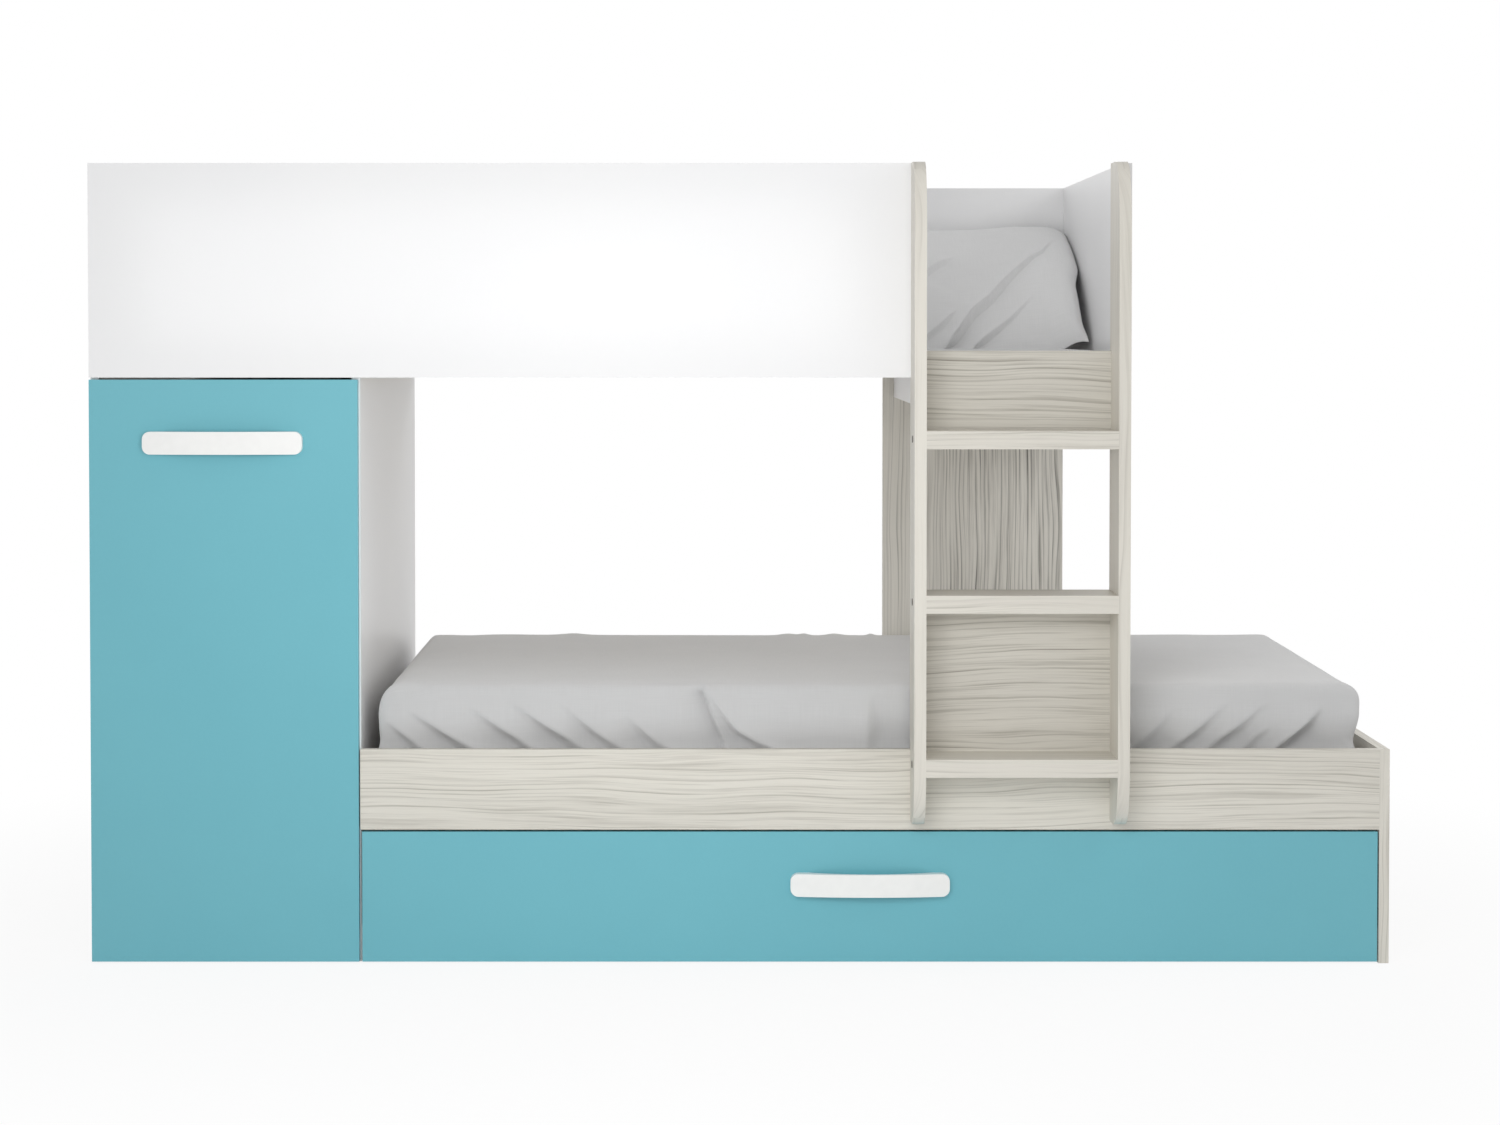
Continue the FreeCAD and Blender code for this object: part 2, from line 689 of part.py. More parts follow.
def build():
    """All the pieces by name, each a single solid or a group of like solids."""
    boards = frame_boards()
    dowels = frame_dowels()
    screws, caps = step_fasteners()
    drill(boards, dowels + screws)
    battens, lower_slats, upper_slats, angles = bed_base()
    lower_mattress, upper_mattress, pillow = bedding()
    groups = {
        "frame_dowels": dowels,
        "ladder_screws": screws,
        "ladder_screw_caps": caps,
        "lower_slat_battens": battens,
        "lower_slats": lower_slats,
        "upper_slats": upper_slats,
        "steel_angles": angles,
        "lower_mattress": [lower_mattress],
        "upper_mattress": [upper_mattress],
        "pillow": [pillow],
    }
    for unit in (trundle, wardrobe):
        unit_boards, unit_groups = unit()
        boards.update(unit_boards)
        groups.update(unit_groups)
    pieces = dict(boards)
    for name, solids in groups.items():
        pieces[name] = solids[0] if len(solids) == 1 else Part.makeCompound(solids)
    return pieces


os.makedirs("parts", exist_ok=True)
for node, piece in build().items():
    piece.exportStep("parts/" + node + ".step")
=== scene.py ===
"""Looks of the bunk bed: finishes for every board and fitting, modelled bedding, soft light and the camera.

Metres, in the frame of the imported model: +X along the bed, +Y to its back, +Z up.
"""

import json
import math

import bpy
import numpy as np
from mathutils import Matrix, Vector


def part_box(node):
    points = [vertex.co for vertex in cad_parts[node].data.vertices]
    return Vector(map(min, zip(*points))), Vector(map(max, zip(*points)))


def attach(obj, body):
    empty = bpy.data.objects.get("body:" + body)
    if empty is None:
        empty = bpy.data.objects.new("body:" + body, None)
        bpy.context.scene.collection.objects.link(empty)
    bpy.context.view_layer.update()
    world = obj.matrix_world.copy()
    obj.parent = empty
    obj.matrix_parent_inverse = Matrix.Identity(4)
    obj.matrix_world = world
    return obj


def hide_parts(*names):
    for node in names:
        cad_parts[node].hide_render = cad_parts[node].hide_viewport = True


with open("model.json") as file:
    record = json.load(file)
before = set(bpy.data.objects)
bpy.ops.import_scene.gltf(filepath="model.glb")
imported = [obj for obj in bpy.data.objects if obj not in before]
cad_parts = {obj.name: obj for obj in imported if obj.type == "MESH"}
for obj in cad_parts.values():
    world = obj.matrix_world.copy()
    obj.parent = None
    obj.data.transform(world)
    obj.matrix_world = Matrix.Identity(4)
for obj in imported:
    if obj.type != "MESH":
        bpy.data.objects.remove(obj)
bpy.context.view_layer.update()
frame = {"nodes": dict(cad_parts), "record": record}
nodes = frame["nodes"]
scene = bpy.context.scene

# Camera, from the photograph's vanishing point and the bed's known sizes
CAMERA_PLACE = (-0.0305, -5.6655, 1.187)
CAMERA_TILT = math.radians(1.5)
CAMERA_LENS = 67.44
CAMERA_SENSOR = 36.0
CAMERA_SHIFT = (0.0173, -0.1053)

# Rounding of the sharp edges of boards and handles, the angle from which an edge is sharp,
# and the distance within which the points of a solid's faces are one
EDGE_ROUND = 0.0009
HANDLE_ROUND = 0.0026
SHARP_ANGLE = math.radians(40)
SAME_POINT = 0.00001


def srgb(red, green, blue):
    """A colour read as 0 to 255, as the linear values that a shader takes."""
    shares = [value / 255 for value in (red, green, blue)]
    linear = [s / 12.92 if s <= 0.04045 else ((s + 0.055) / 1.055) ** 2.4 for s in shares]
    return (*linear, 1.0)


class Finish:
    """A material's node tree, with short calls for the nodes that the finishes share."""

    def __init__(self, name):
        self.material = bpy.data.materials.new(name)
        self.material.use_nodes = True
        self.tree = self.material.node_tree
        self.shader = self.tree.nodes["Principled BSDF"]

    def node(self, kind, inputs, **settings):
        made = self.tree.nodes.new(kind)
        for key, value in settings.items():
            setattr(made, key, value)
        for key, value in inputs.items():
            self.feed(made.inputs[key], value)
        return made

    def feed(self, socket, value):
        """Links a socket to another node's output, or sets its value."""
        if isinstance(value, bpy.types.NodeSocket):
            self.tree.links.new(value, socket)
        else:
            socket.default_value = value

    def set(self, **values):
        """Feeds the shader's sockets; an underscore stands for a space in a socket's name."""
        for key, value in values.items():
            self.feed(self.shader.inputs[key.replace("_", " ")], value)

    def calc(self, operation, first, second=0.0):
        return self.node("ShaderNodeMath", {0: first, 1: second}, operation=operation).outputs[0]

    def plus(self, first, second):
        return self.calc("ADD", first, second)

    def minus(self, first, second):
        return self.calc("SUBTRACT", first, second)

    def times(self, first, second):
        return self.calc("MULTIPLY", first, second)

    def vector(self, x, y, z=0.0):
        return self.node("ShaderNodeCombineXYZ", {0: x, 1: y, 2: z}).outputs[0]

    def noise(self, place, scale=1.0, detail=2.0):
        """Fractal noise about zero, from -0.5 to 0.5."""
        made = self.node("ShaderNodeTexNoise", {"Vector": place, "Scale": scale, "Detail": detail})
        return self.minus(made.outputs["Fac"], 0.5)

    def remap(self, value, low, high, to_low=0.0, to_high=1.0):
        """A smooth step of a value from one range to another."""
        made = self.node("ShaderNodeMapRange", {0: value, 1: low, 2: high, 3: to_low, 4: to_high},
                         interpolation_type="SMOOTHSTEP")
        return made.outputs[0]

    def blend(self, share, first, second):
        """A mix of two colours."""
        made = self.node("ShaderNodeMix", {"Factor": share}, data_type="RGBA")
        self.feed(made.inputs[6], first)
        self.feed(made.inputs[7], second)
        return made.outputs[2]

    def bump(self, height, distance, strength):
        """Feeds a bump to the shader; its distance is in metres."""
        made = self.node("ShaderNodeBump", {"Height": height, "Distance": distance, "Strength": strength})
        self.set(Normal=made.outputs[0])

    def coordinate(self, kind):
        """A texture coordinate, whole and as its three parts."""
        point = self.node("ShaderNodeTexCoord", {}).outputs[kind]
        split = self.node("ShaderNodeSeparateXYZ", {0: point})
        return point, split.outputs[0], split.outputs[1], split.outputs[2]

    def chance(self):
        """A number from 0 to 1 that differs from object to object."""
        return self.node("ShaderNodeObjectInfo", {}).outputs["Random"]


# Printed wood: noise by its scales along and across the grain, per metre, and its detail
SWAY = (1.25, 4.0, 2.0)
RIPPLE = (6.5, 30.0, 1.0)
FIBRE = (26.0, 950.0, 2.0)
TONE = (0.9, 13.0, 2.0)
# The same, with the scale across the grain in lines of the print
STREAK = (2.6, 1.1, 4.0)
HAIR = (5.0, 3.6, 3.0)
# How far sway and ripple bend the lines, in metres, and how unevenly the lines are spaced
SWAY_SIZE = 0.075
RIPPLE_SIZE = 0.006
UNEVEN = 2.4
# Shares of the layers in the dark colour, and the share that is always there
LINE_SHARE, STREAK_SHARE, HAIR_SHARE, FIBRE_SHARE, TONE_SHARE = 0.85, 0.20, 0.20, 0.14, 0.36
BASE_SHARE = 0.05
# A face turned this far along the grain is an end
END_FACING = 0.7
# Part of a board, from its low end of X, over which a calm print gains its full strength
CALM_FROM, CALM_TO = 0.15, 0.6


def wood(name, along, light, dark, pitch, contrast, spread=0.5, least=0.0, calm=1.0):
    """Printed wood grain along one axis, and along the edge on faces that cut across it.

    Lines that are sharp on one side and fade on the other lie over long streaks and fine fibres.
    Each line has its own strength, from least to 1. Towards the board's low end of X, all but the
    broad tone weakens to calm.
    """
    f = Finish(name)
    _, x, y, z = f.coordinate("Object")
    run, rise, third = {"X": (x, z, y), "Y": (y, z, x), "Z": (z, x, y)}[along]
    edge_run, edge_rise = {"X": (z, y), "Y": (z, x), "Z": (y, x)}[along]
    facing = f.coordinate("Normal")[1 + "XYZ".index(along)]
    ends = f.calc("GREATER_THAN", f.calc("ABSOLUTE", facing), END_FACING)
    run = f.node("ShaderNodeMix", {0: ends, 2: run, 3: edge_run}).outputs[0]
    rise = f.node("ShaderNodeMix", {0: ends, 2: rise, 3: edge_rise}).outputs[0]
    third = f.times(third, f.minus(1.0, ends))
    # Each board takes its own part of the print, and the print goes on around its edges
    seed = f.times(f.chance(), 19.0)
    across = f.plus(rise, f.times(third, 0.83))
    across = f.plus(across, f.times(seed, 0.37))

    def stretched(scales, source, lines=1.0):
        run_scale, across_scale, detail = scales
        scaled = f.vector(f.times(run, run_scale), f.times(source, across_scale * lines), seed)
        return f.noise(scaled, detail=detail)

    sway = f.times(stretched(SWAY, across), SWAY_SIZE)
    ripple = f.times(stretched(RIPPLE, across), RIPPLE_SIZE)
    grain = f.plus(across, f.plus(sway, ripple))
    uneven = f.noise(f.vector(seed, f.times(grain, 0.5 / pitch)), detail=1.0)
    phase = f.plus(f.times(grain, 1.0 / pitch), f.times(uneven, UNEVEN * spread))
    band = f.calc("FLOOR", phase)
    saw = f.calc("FRACT", phase)
    line = f.times(f.calc("POWER", f.minus(1.0, saw), 5.0), f.remap(saw, 0.0, 0.08))
    pick = f.node("ShaderNodeTexWhiteNoise", {"W": f.plus(band, seed)}, noise_dimensions="1D")
    strength = f.plus(f.times(f.calc("POWER", pick.outputs["Value"], 1.3), 1.0 - least), least)
    wane = f.noise(f.vector(f.times(run, 3.0), f.times(band, 3.7), seed), detail=1.0)
    line = f.times(f.times(line, strength), f.remap(wane, -0.15, 0.12, 0.1, 1.0))
    streak = f.remap(stretched(STREAK, grain, 1.0 / pitch), 0.0, 0.2)
    hair = f.remap(stretched(HAIR, grain, 1.0 / pitch), 0.02, 0.22)
    fibre = stretched(FIBRE, grain)
    tone = stretched(TONE, grain)
    shade = f.plus(f.times(line, LINE_SHARE * contrast), f.times(streak, STREAK_SHARE * contrast))
    shade = f.plus(shade, f.times(hair, HAIR_SHARE * contrast))
    shade = f.plus(shade, f.times(fibre, FIBRE_SHARE * contrast))
    if calm < 1.0:
        board_x = f.coordinate("Generated")[1]
        shade = f.times(shade, f.remap(board_x, CALM_FROM, CALM_TO, calm, 1.0))
    shade = f.plus(shade, f.times(tone, TONE_SHARE))
    shade = f.node("ShaderNodeClamp", {0: f.plus(shade, BASE_SHARE)}).outputs[0]
    f.set(Base_Color=f.blend(shade, light, dark), Roughness=f.plus(f.times(shade, 0.14), 0.46))
    f.set(Specular_IOR_Level=0.35)
    f.bump(f.minus(f.times(fibre, 0.5), line), distance=0.00004, strength=0.6)
    return f.material


def coated_board(name, colour, deep, roughness):
    """A satin coated board: faint cloudiness in the colour and the fine orange peel of the coat."""
    f = Finish(name)
    point = f.coordinate("Object")[0]
    cloud = f.noise(point, 3.0, 3.0)
    speck = f.noise(point, 170.0, 2.0)
    shade = f.plus(f.times(cloud, 0.7), f.times(speck, 0.3))
    f.set(Base_Color=f.blend(f.remap(shade, -0.5, 0.5), colour, deep))
    f.set(Roughness=f.remap(speck, -0.5, 0.5, roughness * 0.9, roughness * 1.15), Specular_IOR_Level=0.45)
    f.bump(f.noise(point, 620.0, 2.0), distance=0.000005, strength=0.5)
    return f.material


# Cotton: the width of a yarn in metres, and the scales of its slubs across and along the yarn
YARN = 0.0011
SLUB_ACROSS, SLUB_ALONG = 700.0, 16.0


def cotton(name, colour, deep):
    """Woven cotton: plain weave over the mesh's own map, uneven yarn, and a soft nap."""
    f = Finish(name)
    _, warp, weft, _ = f.coordinate("UV")
    warp_count = f.times(warp, 1.0 / YARN)
    weft_count = f.times(weft, 1.0 / YARN)
    over = f.calc("MODULO", f.plus(f.calc("FLOOR", warp_count), f.calc("FLOOR", weft_count)), 2.0)
    warp_round = f.calc("SINE", f.times(f.calc("FRACT", warp_count), math.pi))
    weft_round = f.calc("SINE", f.times(f.calc("FRACT", weft_count), math.pi))
    weave = f.node("ShaderNodeMix", {0: over, 2: warp_round, 3: weft_round}).outputs[0]
    slub_warp = f.noise(f.vector(f.times(warp, SLUB_ACROSS), f.times(weft, SLUB_ALONG)))
    slub_weft = f.noise(f.vector(f.times(warp, SLUB_ALONG), f.times(weft, SLUB_ACROSS)))
    cloud = f.noise(f.vector(warp, weft), 7.0, 3.0)
    shade = f.plus(f.plus(slub_warp, slub_weft), f.times(cloud, 0.8))
    shade = f.plus(shade, f.times(f.minus(0.5, weave), 0.35))
    f.set(Base_Color=f.blend(f.remap(shade, -0.9, 0.9), colour, deep), Roughness=0.9)
    f.set(Sheen_Weight=0.12, Sheen_Roughness=0.5, Diffuse_Roughness=0.6, Specular_IOR_Level=0.15)
    f.bump(weave, distance=0.00014, strength=0.35)
    return f.material


def plastic(name, colour, deep, roughness):
    """Moulded plastic with a fine spark-eroded texture."""
    f = Finish(name)
    point = f.coordinate("Object")[0]
    grit = f.noise(point, 1500.0, 2.0)
    f.set(Base_Color=f.blend(f.remap(f.noise(point, 60.0, 3.0), -0.4, 0.4), colour, deep))
    f.set(Roughness=f.remap(grit, -0.5, 0.5, roughness - 0.05, roughness + 0.08), Specular_IOR_Level=0.5)
    f.bump(grit, distance=0.000008, strength=0.5)
    return f.material


def metal(name, colour, deep, roughness, stroke):
    """Bare or plated metal with drawing marks along X or Y."""
    f = Finish(name)
    _, x, y, z = f.coordinate("Object")
    run, rest = {"X": (x, y), "Y": (y, x)}[stroke]
    marks = f.noise(f.vector(f.times(run, 30.0), f.times(rest, 2600.0), f.times(z, 2600.0)), detail=3.0)
    f.set(Base_Color=f.blend(f.remap(marks, -0.4, 0.4), colour, deep), Metallic=1.0)
    f.set(Roughness=f.remap(marks, -0.4, 0.4, roughness, roughness + 0.14))
    f.bump(marks, distance=0.000003, strength=0.4)
    return f.material


finishes = {
    "white_board": coated_board("white_board", srgb(243, 243, 243), srgb(238, 238, 239), roughness=0.36),
    "blue_board": coated_board("blue_board", srgb(116, 187, 199), srgb(110, 181, 194), roughness=0.4),
    "handle_white": plastic("handle_white", srgb(246, 246, 244), srgb(242, 242, 240), roughness=0.3),
    "slat_pine": wood("slat_pine", "Y", srgb(232, 217, 190), srgb(184, 152, 112),
                      pitch=0.009, contrast=0.8),
    "dowel_beech": wood("dowel_beech", "X", srgb(214, 180, 140), srgb(160, 116, 78),
                        pitch=0.003, contrast=0.7),
    "white_steel": coated_board("white_steel", srgb(236, 236, 236), srgb(229, 229, 230), roughness=0.32),
    "zinc_steel": metal("zinc_steel", srgb(206, 208, 212), srgb(172, 174, 180), roughness=0.3, stroke="X"),
    "cap_plastic": plastic("cap_plastic", srgb(92, 88, 80), srgb(70, 67, 61), roughness=0.42),
    "wheel_plastic": plastic("wheel_plastic", srgb(62, 63, 66), srgb(48, 49, 52), roughness=0.45),
    "chrome_tube": metal("chrome_tube", srgb(232, 233, 236), srgb(214, 216, 220), roughness=0.1, stroke="Y"),
    "socket_plastic": plastic("socket_plastic", srgb(232, 232, 230), srgb(222, 222, 220), roughness=0.4),
    "mattress_fabric": cotton("mattress_fabric", srgb(213, 213, 213), srgb(204, 204, 204)),
    "pillow_fabric": cotton("pillow_fabric", srgb(236, 236, 236), srgb(225, 225, 225)),
}
# The bed's own printed wood: the colours of its ground and its lines, and the distance of the lines
WOOD_LIGHT = srgb(236, 232, 222)
WOOD_DARK = srgb(150, 144, 132)
WOOD_PITCH = 0.0095


def decor(name, along, level, contrast, pitch=WOOD_PITCH):
    """The bed's printed wood at one level of its two colours; a level below that of the long rails is
    painted shade.
    """
    light, dark = ([*(value * level for value in colour[:3]), 1.0] for colour in (WOOD_LIGHT, WOOD_DARK))
    return wood(name, along, light, dark, pitch, contrast)


finishes["wood_decor"] = decor("wood_decor_long", "X", level=0.90, contrast=1.25)
decor_along_y = decor("wood_decor_deep", "Y", level=0.90, contrast=1.25)
# The ladder's sides and steps take the print with less contrast, and a little darker than the rails; the
# darkening is painted shade.
decor_along_z = decor("wood_decor_tall", "Z", level=0.85, contrast=0.55, pitch=0.0125)
decor_step = decor("wood_decor_step", "X", level=0.85, contrast=0.7)
# The ladder's back board and the upper front rail take a darker copy of the same print: painted shade, for
# the shade these boards stand in.
decor_painted_shade = decor("wood_decor_shade", "X", level=0.78, contrast=1.5)
decor_fine = wood("wood_decor_fine", "Z", srgb(230, 227, 219), srgb(72, 68, 62),
                  pitch=0.0080, contrast=1.8, spread=0.15, least=0.6, calm=0.35)
finish_by_node = {
    "guard_panel": coated_board("guard_board", srgb(242, 242, 242), srgb(239, 239, 240), roughness=0.14),
    "lower_end_panel": decor_along_y,
    "ladder_step_lower": decor_step,
    "ladder_step_middle": decor_step,
    "ladder_step_upper": decor_step,
    "ladder_back_board": decor_painted_shade,
    "upper_front_rail": decor_painted_shade,
    "ladder_left_side": decor_along_z,
    "ladder_right_side": decor_along_z,
    "back_support_panel": decor_fine,
}


def finish_for(node, slot):
    """A node's own finish, or else that of its slot."""
    return finish_by_node.get(node, finishes[slot])


def dress(obj, material):
    """Gives an object one finish in place of those it came with."""
    obj.data.materials.clear()
    obj.data.materials.append(material)


def soften_edges(obj, width, segments):
    """Rounds the sharp edges of a CAD solid a little, as a sawn and edged board has them."""
    weld = obj.modifiers.new("weld", "WELD")
    weld.merge_threshold = SAME_POINT
    bevel = obj.modifiers.new("edges", "BEVEL")
    bevel.width = width
    bevel.segments = segments
    bevel.limit_method = "ANGLE"
    bevel.angle_limit = SHARP_ANGLE
    normals = obj.modifiers.new("normals", "WEIGHTED_NORMAL")
    normals.keep_sharp = True


boards = ("white_board", "blue_board", "wood_decor", "slat_pine")
for row in frame["record"]["subparts"]:
    node = nodes[row["node"]]
    dress(node, finish_for(row["node"], row["material_slot"]))
    if row["material_slot"] in boards:
        soften_edges(node, EDGE_ROUND, segments=2)
    elif row["material_slot"] == "handle_white":
        soften_edges(node, HANDLE_ROUND, segments=4)


def lattice_box(counts):
    """Lattice corners and quads of a closed box of so many cells along X, Y and Z."""
    index = {}
    quads = []
    for axis in range(3):
        first, second = (axis + 1) % 3, (axis + 2) % 3
        for side in (0, counts[axis]):
            for i in range(counts[first]):
                for j in range(counts[second]):
                    quad = []
                    for di, dj in ((0, 0), (1, 0), (1, 1), (0, 1)):
                        key = [0, 0, 0]
                        key[axis], key[first], key[second] = side, i + di, j + dj
                        quad.append(index.setdefault(tuple(key), len(index)))
                    quads.append(quad if side else quad[::-1])
    return np.array(list(index)), quads


def even(start, end, cell):
    """Stops from start to end, about one cell apart."""
    return np.linspace(start, end, max(2, round((end - start) / cell)) + 1)


def smooth_step(value, low, high):
    """0 up to low, 1 from high on, and a smooth climb between them."""
    share = np.clip((value - low) / (high - low), 0, 1)
    return share * share * (3 - 2 * share)


def rounded_box(points, half, front_radius, back_radius, end_drops):
    """Points of a box about the origin, moved onto the same box with rounded edges.

    The edges turn from the front's radii to the back's, and those at the low and high ends fall
    over taller arcs.
    """
    back = smooth_step(points[:, 1:2], -half[1], half[1])
    radius = np.array(front_radius) * (1 - back) + np.array(back_radius) * back
    for side, drop in zip((-1, 1), end_drops):
        end = smooth_step(points[:, 0] * side, half[0] - 2 * drop, half[0] - drop)
        radius[:, 2] += (drop - radius[:, 2]) * end
    core = np.clip(points, radius - half, half - radius)
    out = (points - core) / radius
    out /= np.linalg.norm(out, axis=1, keepdims=True)
    return core + out * radius


def new_piece(name, points, quads, cloth_map):
    """A mesh object from points and quads, with a map in metres that the weave follows."""
    mesh = bpy.data.meshes.new(name)
    mesh.from_pydata(points.tolist(), [], quads)
    layer = mesh.uv_layers.new(name="cloth")
    layer.data.foreach_set("uv", cloth_map.astype(np.float32).ravel())
    mesh.shade_smooth()
    obj = bpy.data.objects.new(name, mesh)
    scene.collection.objects.link(obj)
    return obj


def points_of(mesh):
    flat = np.zeros(len(mesh.vertices) * 3, np.float32)
    mesh.vertices.foreach_get("co", flat)
    return flat.reshape(-1, 3).astype(float)


def set_points(mesh, points):
    mesh.vertices.foreach_set("co", points.astype(np.float32).ravel())
    mesh.update()


def normals_of(mesh):
    flat = np.zeros(len(mesh.vertices) * 3, np.float32)
    mesh.vertices.foreach_get("normal", flat)
    return flat.reshape(-1, 3).astype(float)


def side_map(lattice, quads, flat):
    """Cloth map of a lattice box: on each side, metres along its two edges."""
    rows = []
    for quad in quads:
        level = int(np.argmin(np.ptp(lattice[quad], axis=0)))
        rows.append(np.delete(flat[quad], level, axis=1))
    return np.concatenate(rows)


# Cloth simulation: the pressure inside, and its length in frames
SWELL_PRESSURE = 4.0
SWELL_FRAMES = 20


def swell(obj, cap, held=None):
    """Blows a closed cloth mesh up a little by simulation; no point moves further than cap."""
    start = points_of(obj.data)
    cloth = obj.modifiers.new("cloth", "CLOTH")
    settings = cloth.settings
    settings.quality = 6
    settings.mass = 0.3
    settings.tension_stiffness = 15
    settings.compression_stiffness = 15
    settings.shear_stiffness = 5
    settings.bending_stiffness = 0.5
    settings.use_pressure = True
    settings.uniform_pressure_force = SWELL_PRESSURE
    settings.effector_weights.gravity = 0
    if held is not None:
        group = obj.vertex_groups.new(name="held")
        group.add([int(i) for i in held], 1.0, "REPLACE")
        settings.vertex_group_mass = "held"
    cloth.point_cache.frame_start = 1
    cloth.point_cache.frame_end = SWELL_FRAMES
    for step in range(1, SWELL_FRAMES + 1):
        scene.frame_set(step)
    graph = bpy.context.evaluated_depsgraph_get()
    moved = points_of(obj.evaluated_get(graph).data)
    obj.modifiers.remove(cloth)
    scene.frame_set(1)
    move = moved - start
    length = np.linalg.norm(move, axis=1, keepdims=True)
    set_points(obj.data, start + move * np.minimum(1.0, cap / np.maximum(length, 1e-9)))


def subdivide(obj, levels=1):
    """Applies a smooth subdivision to the object's own mesh."""
    smooth = obj.modifiers.new("smooth", "SUBSURF")
    smooth.levels = levels
    smooth.render_levels = levels
    graph = bpy.context.evaluated_depsgraph_get()
    finer = bpy.data.meshes.new_from_object(obj.evaluated_get(graph))
    obj.modifiers.remove(smooth)
    old = obj.data
    obj.data = finer
    finer.name = old.name
    bpy.data.meshes.remove(old)
    finer.shade_smooth()


def follow(points, path):
    """For flat points: the share of a path's length at its nearest point, and the distance to its right."""
    path = np.array(path)
    steps = np.diff(path, axis=0)
    lengths = np.linalg.norm(steps, axis=1)
    starts = np.cumsum(lengths) - lengths
    nearest = np.full(len(points), np.inf)
    share = np.zeros(len(points))
    aside = np.zeros(len(points))
    for origin, step, length, start in zip(path, steps, lengths, starts):
        unit = step / length
        offset = points - origin
        along = np.clip(offset @ unit, 0, length)
        gap = np.linalg.norm(offset - along[:, None] * unit, axis=1)
        right = offset @ np.array((unit[1], -unit[0]))
        better = gap < nearest
        nearest = np.where(better, gap, nearest)
        share = np.where(better, (start + along) / lengths.sum(), share)
        aside = np.where(better, np.copysign(gap, right), aside)
    return share, aside


# Width of a fold at its fine end, as a share of its full width
FINE_END = 0.45


def fold(points, path, side, crest, drop, lengths, lead, tail=0.2):
    """Height of a fold over flat points: a crest along a path that falls off to the right, +1, or left, -1.

    The cloth climbs to the crest, drops steeply and comes back, over the three lengths. The fold grows
    over the first share of the path, lead, and dies away over the last, tail.
    """
    rise, steep, fade = lengths
    share, aside = follow(points, path)
    grown = smooth_step(share, 0, lead)
    widen = FINE_END + (1 - FINE_END) * grown
    across = aside * side / widen
    before = crest * np.exp(np.minimum(across, 0) / rise)
    beyond = np.maximum(across, 0)
    after = (crest + drop) * np.exp(-(beyond / steep) ** 2) - drop * np.exp(-beyond / fade)
    height = np.where(across < 0, before, after)
    return height * grown * smooth_step(1 - share, 0, tail)


# Shortest wave of the cloth's unevenness, as a share of the longest
SHORTEST_WAVE = 0.3


def waves(points, seed, count, longest, size):
    """Gentle unevenness over flat points: a few sine waves in seeded directions."""
    draw = np.random.default_rng(seed)
    total = np.zeros(len(points))
    for _ in range(count):
        turn = draw.uniform(0, 2 * math.pi)
        wave = longest * draw.uniform(SHORTEST_WAVE, 1.0)
        start = draw.uniform(0, 2 * math.pi)
        run = points @ np.array((math.cos(turn), math.sin(turn)))
        total += np.sin(run * 2 * math.pi / wave + start) * wave / longest
    return total * size / count


# Share of a mattress's height that the bed holds still, and the strip at its front that gets a finer mesh
HELD_SHARE = 0.3
FINE_FRONT = 0.16


def mattress(name, node, cells, front_radius, back_radius, end_drops, trims, cap):
    """A mattress in a fitted sheet in its CAD box, swollen by a short cloth simulation.

    The cells are those of the finer and the coarser part. The trims come off at the box's two corners.
    """
    fine, coarse = cells
    low, high = (np.array(corner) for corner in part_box(node))
    low, high = low + np.array(trims[0]), high - np.array(trims[1])
    half = (high - low) / 2
    near = FINE_FRONT - half[1]
    stops = (
        even(-half[0], half[0], fine),
        np.concatenate((even(-half[1], near, fine)[:-1], even(near, half[1], coarse))),
        even(-half[2], half[2], fine),
    )
    lattice, quads = lattice_box([len(row) - 1 for row in stops])
    flat = np.stack([row[lattice[:, axis]] for axis, row in enumerate(stops)], axis=1)
    points = rounded_box(flat, half, front_radius, back_radius, end_drops) + (low + high) / 2
    obj = new_piece(name, points, quads, side_map(lattice, quads, flat))
    base = points[:, 2] < low[2] + HELD_SHARE * (high[2] - low[2])
    swell(obj, cap, np.flatnonzero(base))
    subdivide(obj)
    return obj


def settle(obj, node, body, slot):
    """Puts a soft piece in place of its node: hides the node, hangs the piece on the body it rides on and
    gives it its finish.
    """
    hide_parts(node)
    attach(obj, body)
    dress(obj, finishes[slot])


# Lengths over which the sheet's folds and the pillow's rise to the crest, drop and come back
SHEET_LENGTHS = np.array((0.034, 0.012, 0.050))
PILLOW_LENGTHS = np.array((0.025, 0.0028, 0.045))
